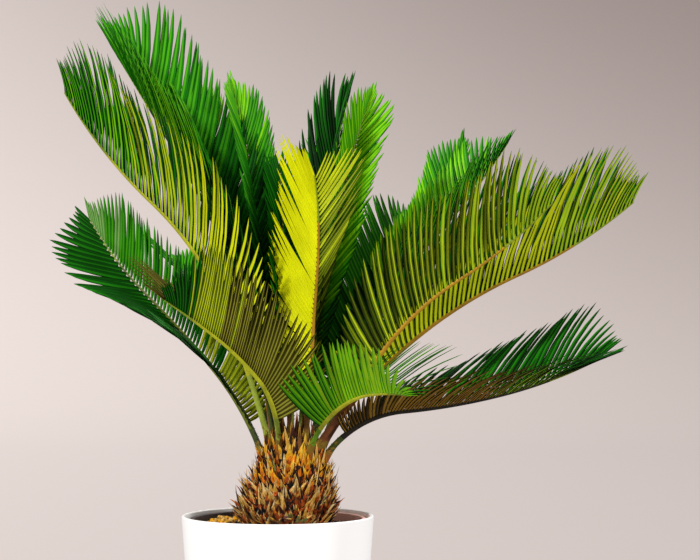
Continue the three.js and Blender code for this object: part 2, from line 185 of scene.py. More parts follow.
# A finish gives its colours and its values for the group. Bump is a strength and a depth in metres.
def makeMaterial(name, group, color, patch, fleck, bump, shader=None, **values):
    material = bpy.data.materials.new(name)
    material.use_nodes = True
    tree = material.node_tree
    principled = tree.nodes["Principled BSDF"].inputs
    inputs = {"Color": (*color, 1), "Patch Color": (*patch, 1), "Fleck Color": (*fleck, 1)}
    for label, value in values.items():
        words = "".join(" " + letter if letter.isupper() else letter for letter in label)
        inputs[words.title()] = value
    surface = addNode(tree, "Group", inputs, node_tree=group)
    relief = {"Strength": bump[0], "Distance": bump[1], "Height": surface["Height"]}
    for label, value in (shader or {}).items():
        principled[label].default_value = value
    tree.links.new(surface["Color"], principled["Base Color"])
    tree.links.new(surface["Roughness"], principled["Roughness"])
    tree.links.new(addNode(tree, "Bump", relief)["Normal"], principled["Normal"])
    return material


# One material for each row of a table of colours. The tints are its patches' and its flecks' shares
# of its own colour.
def makeFamily(family, group, table, tints, **finish):
    materials = []
    for name, (color, *_) in table.items():
        patch, fleck = (tuple(channel * tint for channel in color) for tint in tints)
        materials.append(makeMaterial(family + name, group, color, patch, fleck, **finish))
    return materials


# A piece has its mesh's name.
def finishPiece(mesh, node, materials, sharpAngle=40):
    for material in materials:
        mesh.materials.append(material)
    mesh.shade_smooth()
    mesh.set_sharp_from_angle(angle=math.radians(sharpAngle))
    piece = bpy.data.objects.new(mesh.name, mesh)
    scene.collection.objects.link(piece)
    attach(piece, "root")
    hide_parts(node)


def meshFrom(bm, name):
    bmesh.ops.recalc_face_normals(bm, faces=bm.faces)
    mesh = bpy.data.meshes.new(name)
    bm.to_mesh(mesh)
    bm.free()
    return mesh


def arcPoints(radius, z, size, start, end, steps):
    turns = [math.radians(start + (end - start) * step / steps) for step in range(steps + 1)]
    return [(radius + size * math.cos(turn), z + size * math.sin(turn)) for turn in turns]


mergeDistance = 1e-6


# An outline of radius and height, turned round the upright axis.
def spunBody(outline, steps):
    bm = bmesh.new()
    corners = [bm.verts.new((radius, 0, z)) for radius, z in outline]
    edges = [bm.edges.new(pair) for pair in zip(corners, corners[1:])]
    bmesh.ops.spin(
        bm, geom=corners + edges, cent=(0, 0, 0), axis=(0, 0, 1),
        angle=math.tau, steps=steps, use_merge=True,
    )
    bmesh.ops.remove_doubles(bm, verts=bm.verts, dist=mergeDistance)
    return bm


# A ring of corners drawn out through a row of matrices, closed at both ends.
def sweptBody(section, matrices):
    bm = bmesh.new()
    ring = [bm.verts.new(matrices[0] @ Vector((x, 0, z))) for x, z in section]
    bm.faces.new(ring)
    edges = list(bm.edges)
    for before, after in zip(matrices, matrices[1:]):
        made = bmesh.ops.extrude_edge_only(bm, edges=edges)["geom"]
        moved = [item for item in made if isinstance(item, bmesh.types.BMVert)]
        edges = [
            item for item in made
            if isinstance(item, bmesh.types.BMEdge) and all(corner in moved for corner in item.verts)
        ]
        bmesh.ops.transform(bm, matrix=after @ before.inverted(), verts=moved)
    bmesh.ops.contextual_create(bm, geom=edges)
    bmesh.ops.recalc_face_normals(bm, faces=bm.faces)
    return bm


# A shape as arrays, to be copied or coloured. A face's kind says which colour it takes. Its corners
# and faces are put in order of place, because bmesh may give them in another order each run.
def asTemplate(bm, kindOf=None):
    bmesh.ops.triangulate(bm, faces=bm.faces)
    bm.verts.index_update()
    points = np.array([tuple(corner.co) for corner in bm.verts])
    faces = np.array([[corner.index for corner in face.verts] for face in bm.faces])
    kinds = np.array([kindOf(face) if kindOf else 0 for face in bm.faces])
    bm.free()
    order = np.lexsort(points.T)
    faces = np.argsort(order)[faces]
    turned = (faces.argmin(axis=1)[:, None] + np.arange(3)) % 3
    faces = np.take_along_axis(faces, turned, axis=1)
    rows = np.lexsort(faces.T)
    return {"points": points[order], "faces": faces[rows], "kinds": kinds[rows]}


# A blade along y: the section is scaled across and in thickness at each station.
def bladeTemplate(section, stations, kindOf=None):
    matrices = [
        Matrix.LocRotScale(Vector((0, y, rise)), None, Vector((width, 1, depth)))
        for y, width, depth, rise in stations
    ]
    return asTemplate(sweptBody(section, matrices), kindOf)


def copiedFaces(template, copies):
    first = np.arange(copies)[:, None, None] * len(template["points"])
    return (template["faces"][None] + first).reshape(-1, 3)


# Copies gathered into one mesh.
class Gathering:
    uvShift = np.array([1.7, 0.9])  # so that no two copies have the same fibres

    def __init__(self):
        self.points, self.faces, self.kinds, self.uvs, self.count = [], [], [], [], 0

    def add(self, points, faces, kinds, uvs):
        self.points.append(points)
        self.faces.append(faces + self.count)
        self.kinds.append(kinds)
        self.uvs.append(uvs)
        self.count += len(points)

    # Every copy has an origin, three axes that already hold its size, and a number for its look.
    def addCopies(self, template, origins, across, along, out, kinds):
        points = template["points"]
        spread = (
            origins[:, None]
            + across[:, None] * points[None, :, 0:1]
            + along[:, None] * points[None, :, 1:2]
            + out[:, None] * points[None, :, 2:3]
        )
        shift = np.arange(len(origins))[:, None, None] * self.uvShift
        uvs = (points[None, :, :2] + shift).reshape(-1, 2)
        self.add(spread.reshape(-1, 3), copiedFaces(template, len(origins)), kinds.reshape(-1), uvs)

    def mesh(self, name):
        points = np.concatenate(self.points)
        faces = np.concatenate(self.faces)
        mesh = bpy.data.meshes.new(name)
        mesh.from_pydata(points, [], faces)
        mesh.polygons.foreach_set("material_index", np.concatenate(self.kinds).astype(np.int32))
        corners = np.concatenate(self.uvs)[faces.reshape(-1)]
        mesh.uv_layers.new(name="UVMap").data.foreach_set("uv", corners.reshape(-1))
        mesh.update()
        return mesh


# Ways or places from arrays or numbers of x, y and z.
def vectorsOf(x, y, z):
    return np.stack(np.broadcast_arrays(x, y, z), axis=-1)


def unit(vectors):
    return vectors / np.linalg.norm(vectors, axis=-1, keepdims=True)


# What is left of each way when it is made square to an axis.
def squareTo(axis, vectors):
    return unit(vectors - axis * np.sum(vectors * axis, axis=-1, keepdims=True))


def smoothStep(value, start, end):
    share = np.clip((value - start) / (end - start), 0, 1)
    return share * share * (3 - 2 * share)


# Planter: a plain satin pot with a thin rounded rim.
planterShape = {
    "footRadius": 0.109, "wall": 0.0045, "floor": 0.007, "footRound": 0.005, "wallFrom": 0.015,
    "roundSteps": 8, "turnSteps": 160,
}
planterFinish = {
    "color": (0.94, 0.93, 0.925), "patch": (0.91, 0.9, 0.895), "fleck": (0.88, 0.865, 0.855),
    "bump": (0.12, 0.0003), "shader": {"Coat Weight": 0.25, "Coat Roughness": 0.3},
    "smoothest": 0.32, "roughest": 0.44, "patchScale": 9, "fleckScale": 900,
    "patchAmount": 0.5, "fleckAmount": 0.2,
}


def makePlanter(shape, finish):
    low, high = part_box("planter")
    rimRadius, height = (high.x - low.x) / 2, high.z
    half, footRound, floor = shape["wall"] / 2, shape["footRound"], shape["floor"]
    footRadius, steps = shape["footRadius"], shape["roundSteps"]
    inner = footRadius + (rimRadius - footRadius) * floor / height - shape["wall"]
    outline = [
        (0, 0),
        *arcPoints(footRadius - footRound, footRound, footRound, -90, 0, steps),
        *arcPoints(rimRadius - half, height - half, half, 0, 180, steps),
        (inner + footRound, floor + shape["wallFrom"]),
        *arcPoints(inner - footRound, floor + footRound, footRound, 0, -90, steps),
        (0, floor),
    ]
    mesh = meshFrom(spunBody(outline, shape["turnSteps"]), "planter_shell")
    finishPiece(mesh, "planter", [makeMaterial("satinWhite", mottle, **finish)])


makePlanter(planterShape, planterFinish)
print("planter made")

# Nursery pot: thin moulded plastic with a rolled lip.
nurseryShape = {
    "footRadius": 0.099, "wall": 0.0025, "lip": 0.003, "lipDepth": 0.012, "lipRound": 0.0015,
    "roundSteps": 5, "turnSteps": 144,
}
# Painted shade: the near-black patch colour is washed over the pot's left side near the rim, where its
# inside lies in shade.
nurseryFinish = {
    "color": (0.82, 0.46, 0.4), "patch": (0.012, 0.007, 0.005), "fleck": (0.33, 0.13, 0.1),
    "bump": (0.2, 0.0004), "smoothest": 0.45, "roughest": 0.62, "fleckScale": 500, "fleckAmount": 0.4,
    "darkPlace": (-0.125, 0, 0.225), "darkReach": 0.06, "paleReach": 0.17,
}
nurseryLow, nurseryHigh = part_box("nursery_pot")


# The nursery pot's outer radius, without its lip.
def nurseryRadius(z):
    foot, top = nurseryShape["footRadius"], nurseryHigh.x - nurseryShape["lip"]
    return foot + (top - foot) * (z - nurseryLow.z) / (nurseryHigh.z - nurseryLow.z)


def makeNurseryPot(shape, finish):
    low, high = nurseryLow, nurseryHigh
    rimRadius, lipFoot = high.x, high.z - shape["lipDepth"]
    roll, wall, steps = shape["lipRound"], shape["wall"], shape["roundSteps"]
    floor, inner = low.z + wall, nurseryRadius(high.z) - wall
    outline = [
        (0, low.z),
        (shape["footRadius"] - wall, low.z),
        (shape["footRadius"], floor),
        (nurseryRadius(lipFoot), lipFoot),
        *arcPoints(rimRadius - roll, lipFoot + shape["lip"], roll, -90, 0, steps),
        *arcPoints(rimRadius - roll, high.z - roll, roll, 0, 90, steps),
        *arcPoints(inner + roll, high.z - roll, roll, 90, 180, steps),
        (nurseryRadius(floor) - wall, floor + wall),
        (nurseryRadius(floor) - 2 * wall, floor),
        (0, floor),
    ]
    mesh = meshFrom(spunBody(outline, shape["turnSteps"]), "nursery_pot_shell")
    finishPiece(mesh, "nursery_pot", [makeMaterial("terracottaPlastic", wash, **finish)])


makeNurseryPot(nurseryShape, nurseryFinish)
print("nursery pot made")

# Soil: dark and lumpy, heaped a little on one side, with bark chips on it.
soilShape = {
    "wallGap": 0.0006, "edgeDrop": 0.003, "flatRadius": 0.084, "rings": 26, "turnSteps": 120,
    "lumpSize": 0.011, "lumpHeight": 0.0022, "grainSize": 0.0035, "grainHeight": 0.0009,
    "heap": (-0.076, 0.05), "heapReach": 0.042, "heapHeight": 0.0055,
    "smoothFrom": 0.93,  # the share of the radius past which the lumps die out
}
soilFinish = {
    "color": (0.02, 0.012, 0.009), "patch": (0.008, 0.006, 0.006), "fleck": (0.09, 0.05, 0.03),
    "bump": (0.9, 0.002), "smoothest": 0.85, "roughest": 0.98,
    "patchScale": 60, "fleckScale": 420, "patchAmount": 0.8, "fleckAmount": 0.7,
}
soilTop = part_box("soil")[1].z


def lumps(place, shape):
    coarse = noise.noise(place / shape["lumpSize"])
    fine = noise.noise(place / shape["grainSize"])
    return coarse * shape["lumpHeight"] + fine * shape["grainHeight"]


def soilHeap(x, y):
    away = math.hypot(x - soilShape["heap"][0], y - soilShape["heap"][1])
    return soilShape["heapHeight"] * float(1 - smoothStep(away, 0, soilShape["heapReach"]))


def makeSoil(shape, finish):
    low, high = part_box("soil")
    edge = high.z - shape["edgeDrop"]

    def radiusAt(z):
        return nurseryRadius(z) - nurseryShape["wall"] - shape["wallGap"]

    edgeRadius = radiusAt(edge)
    flatShare = 1 - shape["flatRadius"] / edgeRadius
    outline = [(0, low.z), (radiusAt(low.z), low.z)]
    for ring in range(shape["rings"] + 1):
        share = ring / shape["rings"]
        outline.append(((1 - share) * edgeRadius, edge + shape["edgeDrop"] * min(1, share / flatShare)))
    bm = spunBody(outline, shape["turnSteps"])
    for corner in bm.verts:
        away = math.hypot(corner.co.x, corner.co.y)
        inside = 1 - smoothStep(away, shape["smoothFrom"] * edgeRadius, edgeRadius)
        if corner.co.z > edge:
            raised = lumps(corner.co, shape) - shape["lumpHeight"] + soilHeap(corner.co.x, corner.co.y)
            corner.co.z += raised * float(inside)
    mesh = meshFrom(bm, "soil_bed")
    finishPiece(mesh, "soil", [makeMaterial("pottingSoil", mottle, **finish)], sharpAngle=60)


makeSoil(soilShape, soilFinish)
print("soil made")

# Trunk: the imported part's own taper and lean, closed by a dome.
trunkShape = {
    "footX": 0.009, "crownX": 0.019, "clearance": 0.0003,
    "heights": (0, 0.02, 0.042, 0.066), "radii": (0.056, 0.059, 0.053, 0.044),
    "crownHeight": 0.04, "coreInset": 0.004, "coreRings": 34, "coreSteps": 96,
    "reliefSize": 0.008, "relief": 0.0025, "coreGrain": 60, "skinSteps": 400, "skinTop": 0.999,
}
trunkFoot = soilTop + trunkShape["clearance"]
crownFoot = trunkFoot + trunkShape["heights"][-1]
crownRadius = trunkShape["radii"][-1]


def trunkMiddle(z):
    share = np.clip((z - trunkFoot) / (crownFoot - trunkFoot), 0, 1)
    return trunkShape["footX"] + (trunkShape["crownX"] - trunkShape["footX"]) * share


def trunkRadius(z):
    dome = crownRadius * np.sqrt(np.clip(1 - ((z - crownFoot) / trunkShape["crownHeight"]) ** 2, 0, 1))
    below = np.interp(z - trunkFoot, trunkShape["heights"], trunkShape["radii"])
    return np.where(z > crownFoot, dome, below)


def crownHeight(radius):
    return crownFoot + trunkShape["crownHeight"] * math.sqrt(1 - (radius / crownRadius) ** 2)


# Bark colours, linear, each with the paler colour painted on its scales' tips as a highlight.
barkColors = {
    "cream": ((0.98, 0.76, 0.34), "cream"),
    "paleGold": ((0.97, 0.62, 0.06), "cream"),
    "paleTan": ((0.96, 0.58, 0.15), "cream"),
    "ochre": ((0.72, 0.4, 0.05), "paleTan"),
    "golden": ((0.95, 0.44, 0.01), "paleGold"),
    "orange": ((0.92, 0.25, 0.006), "golden"),
    "rust": ((0.55, 0.1, 0.01), "orange"),
    "brown": ((0.26, 0.105, 0.022), "ochre"),
    "redBrown": ((0.085, 0.018, 0.006), "rust"),
    "darkBrown": ((0.03, 0.012, 0.007), "redBrown"),
    "charcoal": ((0.005, 0.004, 0.005), "charcoal"),
    "greyGreen": ((0.22, 0.23, 0.06), "paleTan"),
    "mauve": ((0.28, 0.15, 0.15), "paleTan"),
}
barkNames = list(barkColors)
# The highlight colour painted on the tips of each colour's scales.
tipHighlightOf = np.array([barkNames.index(tip) for _, tip in barkColors.values()])
barkFinish = {
    "tints": (0.65, 0.2), "bump": (0.8, 0.0012), "shader": {"Specular IOR Level": 0.25},
    "smoothest": 0.7, "roughest": 0.95, "patchAmount": 0.5, "fleckAmount": 0.7,
    "fibresAcross": 5, "fibresAlong": 0.9,
}
barkMaterials = makeFamily("bark_", fibre, barkColors, **barkFinish)


# Draws one bark colour for each thing, by the weight of each name.
def dealBark(rng, weights, count):
    names = list(weights)
    shares = np.array([weights[name] for name in names], float)
    picked = rng.choice(len(names), size=count, p=shares / shares.sum())
    return np.array([barkNames.index(name) for name in names])[picked]


# Sections are corners of x and z. A station is a place along, the width and depth there, and a rise.
# A leaf scale is convex outside and flatter within.
scaleSection = (
    (-1, -0.2), (-0.6, 0.45), (0, 0.75), (0.6, 0.45), (1, -0.2), (0.5, -0.5), (-0.5, -0.5),
)
pointedStations = (
    (0, 0.92, 1, 0), (0.22, 1, 0.95, 0.05), (0.45, 0.88, 0.75, 0),
    (0.68, 0.6, 0.55, -0.1), (0.86, 0.3, 0.35, -0.1), (1, 0.04, 0.08, 0.15),
)
stubStations = (
    (0, 0.95, 1, 0), (0.35, 1, 1, 0.1), (0.7, 0.86, 0.9, 0.15),
    (0.93, 0.72, 0.8, 0.2), (1, 0.6, 0.7, 0.2), (0.97, 0.42, 0.45, 0.2), (0.84, 0.3, 0.3, 0.2),
)
spikeSection = ((-1, 0), (0, 0.8), (1, 0), (0, -0.6))
spikeStations = (
    (0, 1, 1, 0), (0.3, 0.85, 0.8, 0.25), (0.6, 0.6, 0.55, 0.3), (0.85, 0.3, 0.3, 0),
    (1, 0.05, 0.06, -0.6),
)
fibreSection = ((-1, -0.6), (1, -0.6), (0, 1))
fibreStations = ((0, 1, 1, 0), (0.35, 0.9, 0.9, 3), (0.7, 0.7, 0.7, 1), (1, 0.15, 0.15, -6))
# Where a scale's foot ends and its tip starts, and how far a stub's hollow end faces along it.
scaleMarks = {"foot": 0.3, "tip": 0.72, "hollowFacing": 0.3}


# Kind 1 is the foot of a scale, painted dark as shade between its neighbours, and kind 2 its tip,
# painted pale as a highlight.
def scaleParts(face):
    height = face.calc_center_median().y
    return int(height < scaleMarks["foot"]) + 2 * int(height > scaleMarks["tip"])


# Kind 1 is the foot or the hollow end of a cut stalk, both painted dark as shade.
def stubHollow(face):
    hollow = face.normal.y > scaleMarks["hollowFacing"]
    return int(hollow or face.calc_center_median().y < scaleMarks["foot"])


scaleTemplates = {
    "pointed": bladeTemplate(scaleSection, pointedStations, scaleParts),
    "stub": bladeTemplate(scaleSection, stubStations, stubHollow),
    "spike": bladeTemplate(spikeSection, spikeStations, scaleParts),
    "fibre": bladeTemplate(fibreSection, fibreStations),
}
upright = np.array([0, 0, 1])
goldenAngle = math.pi * (3 - math.sqrt(5))


# Axes of things that grow on the trunk: they lean out from upright and sway to one side.
def growthAxes(turn, elevation, sway):
    radial = vectorsOf(np.cos(turn), np.sin(turn), 0)
    around = vectorsOf(-np.sin(turn), np.cos(turn), 0)
    along = radial * np.cos(elevation)[:, None] + upright * np.sin(elevation)[:, None]
    along = unit(along + around * np.tan(sway)[:, None])
    out = squareTo(along, radial)
    return np.cross(along, out), along, out


# Places spread evenly over the trunk's skin by the golden angle, from one height to another.
def spiralPlaces(count, low, high, firstTurn):
    top = crownFoot + trunkShape["crownHeight"] * trunkShape["skinTop"]
    z = np.linspace(trunkFoot, top, trunkShape["skinSteps"])
    radius = trunkRadius(z)
    skin = np.cumsum(np.hypot(np.gradient(z), np.gradient(radius)) * radius)
    start, end = np.interp([low, high], z, skin)
    height = np.interp(start + (end - start) * (np.arange(count) + 0.5) / count, skin, z)
    return height, firstTurn + np.arange(count) * goldenAngle


def onTrunk(height, turn, depth):
    radius = trunkRadius(height) - depth
    return vectorsOf(trunkMiddle(height) + radius * np.cos(turn), radius * np.sin(turn), height)


# Mixes of bark colours, by weight: the trunk's lower part, its crown, and the smaller growth.
lowBark = {"paleTan": 40, "ochre": 28, "brown": 6, "rust": 10, "redBrown": 4, "greyGreen": 6, "mauve": 6}
highBark = {"golden": 40, "orange": 28, "ochre": 8, "paleTan": 14, "rust": 7, "redBrown": 3}
bristleBark = {"paleTan": 44, "ochre": 20, "brown": 12, "darkBrown": 10, "mauve": 6, "redBrown": 8}
paleBark = {"paleTan": 50, "greyGreen": 30, "ochre": 20}
tuftBark = {"brown": 24, "darkBrown": 30, "redBrown": 26, "orange": 10, "ochre": 10}
# Near-black colours painted as shade in patches over the trunk.
shadePatchBark = {"charcoal": 40, "darkBrown": 35, "redBrown": 25}
spikeBark = {"darkBrown": 34, "charcoal": 24, "redBrown": 22, "paleTan": 10, "brown": 10}
stubBark = {"redBrown": 1, "darkBrown": 2}
rustBark = {"rust": 1}
barkLook = {
    "seed": 11,
    "change": (0.046, 0.066),  # the heights between which the low colours give way to the high ones
    "shadePatchSize": 0.0085, "shadePatchFrom": 0.13, "shadePatchChance": 0.8,  # patches of painted shade, where scales take dark colours as if in hollows
    "turnSpread": 0.08, "risesOver": 0.6, "elevationLimits": (0.2, 1.55),
}
# Kinds of growth on the trunk, and what they have unless they say otherwise. Each pair of elevations
# and of barks is for the foot and the crown, and each spread is of the elevation and of the sway. The
# other pairs are limits.
growthDefaults = {"depth": 0.001, "shape": "spike"}
barkRules = {
    "scales": {
        "count": 520, "heights": (0.001, 0.098), "depth": 0.003, "width": (0.0024, 0.0044),
        "thick": (0.0018, 0.003), "length": (0.016, 0.03), "elevation": (56, 80), "spread": (11, 16),
        "shape": "pointed", "bark": (lowBark, highBark),
    },
    "bristles": {
        "count": 560, "heights": (0.002, 0.08), "width": (0.0008, 0.0017), "thick": (0.0008, 0.0014),
        "length": (0.011, 0.021), "elevation": (48, 76), "spread": (15, 24),
        "bark": (bristleBark, highBark),
    },
    "crownSpikes": {
        "count": 170, "heights": (0.05, 0.103), "depth": 0.003, "width": (0.0026, 0.0052),
        "thick": (0.0013, 0.0024), "length": (0.017, 0.033), "elevation": (62, 88), "spread": (8, 11),
        "bark": (highBark, highBark),
    },
    "crownTufts": {
        "count": 60, "heights": (0.086, 0.1055), "depth": 0.002, "width": (0.0022, 0.0042),
        "thick": (0.0013, 0.0024), "length": (0.026, 0.05), "elevation": (74, 88), "spread": (6, 7),
        "bark": (tuftBark, tuftBark),
    },
    "longSpikes": {
        "count": 30, "heights": (0.01, 0.066), "depth": -0.001, "width": (0.0012, 0.0019),
        "thick": (0.0012, 0.0018), "length": (0.03, 0.048), "elevation": (76, 84), "spread": (4, 8),
        "bark": (paleBark, paleBark),
    },
    "sideSpikes": {
        "count": 64, "heights": (0.008, 0.074), "width": (0.0013, 0.0021), "thick": (0.0012, 0.0018),
        "length": (0.017, 0.029), "elevation": (38, 58), "spread": (10, 16),
        "bark": (spikeBark, spikeBark),
    },
    "cutStalks": {
        "count": 17, "heights": (0.022, 0.09), "width": (0.004, 0.005), "thick": (0.005, 0.0064),
        "length": (0.009, 0.012), "elevation": (16, 40), "spread": (5, 6), "shape": "stub",
        "bark": (stubBark, rustBark),
    },
    "fibres": {
        "count": 420, "heights": (0.004, 0.104), "depth": 0.002, "width": (0.00025, 0.00045),
        "thick": (0.00025, 0.00045), "length": (0.012, 0.022), "elevation": (50, 84),
        "spread": (16, 26), "shape": "fibre", "bark": (bristleBark, highBark),
    },
}


# A rough body under the scales, painted near-black as the shade between them.
def trunkCore():
    inset = trunkShape["coreInset"]
    z = np.linspace(trunkFoot, crownFoot + trunkShape["crownHeight"] - inset, trunkShape["coreRings"])
    radius = np.maximum(trunkRadius(z + inset * (z > crownFoot)) - inset, 0)
    radius[-1] = 0
    bm = spunBody([(0, trunkFoot), *zip(radius.tolist(), z.tolist())], trunkShape["coreSteps"])
    for corner in bm.verts:
        flat = Vector((corner.co.x, corner.co.y, 0))
        if corner.co.z > trunkFoot + inset and flat.length > inset:
            relief = noise.noise(corner.co / trunkShape["reliefSize"])
            corner.co += flat.normalized() * relief * trunkShape["relief"]
        corner.co.x += float(trunkMiddle(corner.co.z))
    bmesh.ops.recalc_face_normals(bm, faces=bm.faces)
    return asTemplate(bm)


def makeBark(look):
    rng = np.random.default_rng(look["seed"])
    bark = Gathering()
    core = trunkCore()
    # The core is painted near-black as the shade between the scales.
    coreShadeKinds = np.full(len(core["faces"]), barkNames.index("charcoal"))
    bark.add(core["points"], core["faces"], coreShadeKinds, core["points"][:, :2] * trunkShape["coreGrain"])
    riseEnd = crownFoot + trunkShape["crownHeight"] * look["risesOver"]
    for label, values in barkRules.items():
        rule = {**growthDefaults, **values}
        count = rule["count"]
        low, high = rule["heights"]
        height, turn = spiralPlaces(count, trunkFoot + low, trunkFoot + high, len(label))
        turn = turn + rng.normal(0, look["turnSpread"], count)
        rise = np.clip((height - trunkFoot) / (riseEnd - trunkFoot), 0, 1)
        elevationSpread, swaySpread = rule["spread"]
        elevation = np.interp(rise, (0, 1), rule["elevation"]) + rng.normal(0, elevationSpread, count)
        elevation = np.clip(np.radians(elevation), *look["elevationLimits"])
        sway = np.radians(rng.normal(0, swaySpread, count))
        across, along, out = growthAxes(turn, elevation, sway)
        sizes = (rng.uniform(*rule[key], count)[:, None] for key in ("width", "length", "thick"))
        width, length, thick = sizes
        onCrown = rng.uniform(*look["change"], count) < height - trunkFoot
        lowMix, highMix = rule["bark"]
        colors = np.where(onCrown, dealBark(rng, highMix, count), dealBark(rng, lowMix, count))
        origins = onTrunk(height, turn, rule["depth"])
        # Painted shade: in noise patches the growth takes near-black colours, as in dark hollows.
        hollow = [noise.noise(Vector(place) / look["shadePatchSize"]) for place in origins.tolist()]
        inShadePatch = (np.array(hollow) > look["shadePatchFrom"]) & (rng.random(count) < look["shadePatchChance"])
        colors = np.where(inShadePatch, dealBark(rng, shadePatchBark, count), colors)
        # Scale feet are painted dark as shade and their tips pale as a highlight.
        footShadeTones = np.where(onCrown, barkNames.index("darkBrown"), barkNames.index("rust"))
        tones = (colors[:, None], footShadeTones[:, None], tipHighlightOf[colors][:, None])
        template = scaleTemplates[rule["shape"]]
        kinds = np.choose(template["kinds"][None], tones)
        bark.addCopies(template, origins, across * width, along * length, out * thick, kinds)
    mesh = bark.mesh("trunk_bark")
    finishPiece(mesh, "trunk", barkMaterials, sharpAngle=50)
    print("trunk made:", len(mesh.polygons), "faces")


makeBark(barkLook)

# Bark chips and flakes on the soil: a golden heap on one side and darker ones all round.
chipGroups = {
    "heap": {
        "count": 150, "turns": (118, 196), "radii": (0.07, 0.103), "layers": 0.0045,
        "size": (0.0022, 0.0048), "colors": {"golden": 40, "paleTan": 25, "ochre": 25, "brown": 10},
    },
    "round": {
        "count": 420, "turns": (-180, 180), "radii": (0.062, 0.105), "layers": 0.0015,
        "size": (0.0016, 0.004), "colors": {
            "brown": 22, "darkBrown": 28, "charcoal": 10, "mauve": 16, "ochre": 10, "paleTan": 14,
        },
    },
    "dark": {
        "count": 110, "turns": (-10, 60), "radii": (0.072, 0.105), "layers": 0.004,
        "size": (0.0022, 0.0046),
        "colors": {"darkBrown": 40, "mauve": 30, "redBrown": 20, "paleTan": 10},
    },
}
chipShape = {
    "seed": 5, "bevel": 0.16, "width": 1.2, "length": 2, "flatness": (0.25, 0.5), "tip": 24, "tilt": 0.3,
    "edgeRadius": 0.108, "sunk": 0.0011,
}


def chipTemplate(shape):
    bm = bmesh.new()
    bmesh.ops.create_cube(bm, size=1)
    bmesh.ops.bevel(
        bm, geom=bm.edges, offset=shape["bevel"], segments=1, affect="EDGES", profile=0.5, material=-1,
    )
    return asTemplate(bm)


def makeChips(shape):
    rng = np.random.default_rng(shape["seed"])
    template = chipTemplate(shape)
    chips = Gathering()
    for group in chipGroups.values():
        count = group["count"]
        turn = np.radians(rng.uniform(*group["turns"], count))
        radius = np.sqrt(rng.uniform(*np.square(group["radii"]), count))
        x, y = radius * np.cos(turn), radius * np.sin(turn)
        raised = [soilHeap(*place) for place in zip(x, y)]
        slope = soilShape["edgeDrop"] * smoothStep(radius, soilShape["flatRadius"], shape["edgeRadius"])
        height = soilTop - shape["sunk"] - slope + raised + rng.uniform(0, group["layers"], count)
        spin, tip = rng.uniform(0, math.tau, count), np.radians(rng.normal(0, shape["tip"], count))
        along = vectorsOf(np.cos(spin) * np.cos(tip), np.sin(spin) * np.cos(tip), np.sin(tip))
        out = squareTo(along, unit(upright + rng.normal(0, shape["tilt"], (count, 3))))
        size = rng.uniform(*group["size"], count)[:, None]
        flatness = rng.uniform(*shape["flatness"], count)[:, None]
        kinds = np.repeat(dealBark(rng, group["colors"], count), len(template["faces"]))
        chips.addCopies(
            template, vectorsOf(x, y, height), np.cross(along, out) * size * shape["width"],
            along * size * shape["length"], out * size * flatness * 2, kinds,
        )
    finishPiece(chips.mesh("soil_chips"), "soil", barkMaterials, sharpAngle=30)


makeChips(chipShape)
print("chips made")

# Fronds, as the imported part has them: the seat's distance from the crown's middle, the length along
# the rib, the longest leaflet, in degrees the V that the leaflets make, and the heading, rise and roll
# from foot to tip. Close draws the tip's leaflets together. Bare is the share of the stalk below the
# leaflets, and the stalk has one colour there and another above. These are for the right-hand and the
# left-hand leaflets, or for both: foot, the first leaflets' share of the longest, lean, in degrees to
# the tip, wide and finer, how wide they are and how many, and the palettes of their two sides.
frondDefaults = {"bare": 0.2, "roll": (0, 0), "foot": 0.3, "lean": 0, "wide": 1, "finer": 1}
handedValues = ("foot", "lean", "wide", "finer", "upper", "under")


def frondOf(name, upper, **values):
    frond = {"name": name, **frondDefaults, "upper": upper, "under": upper, **values}
    for key in handedValues:
        if not isinstance(frond[key], tuple):
            frond[key] = (frond[key], frond[key])
    return frond


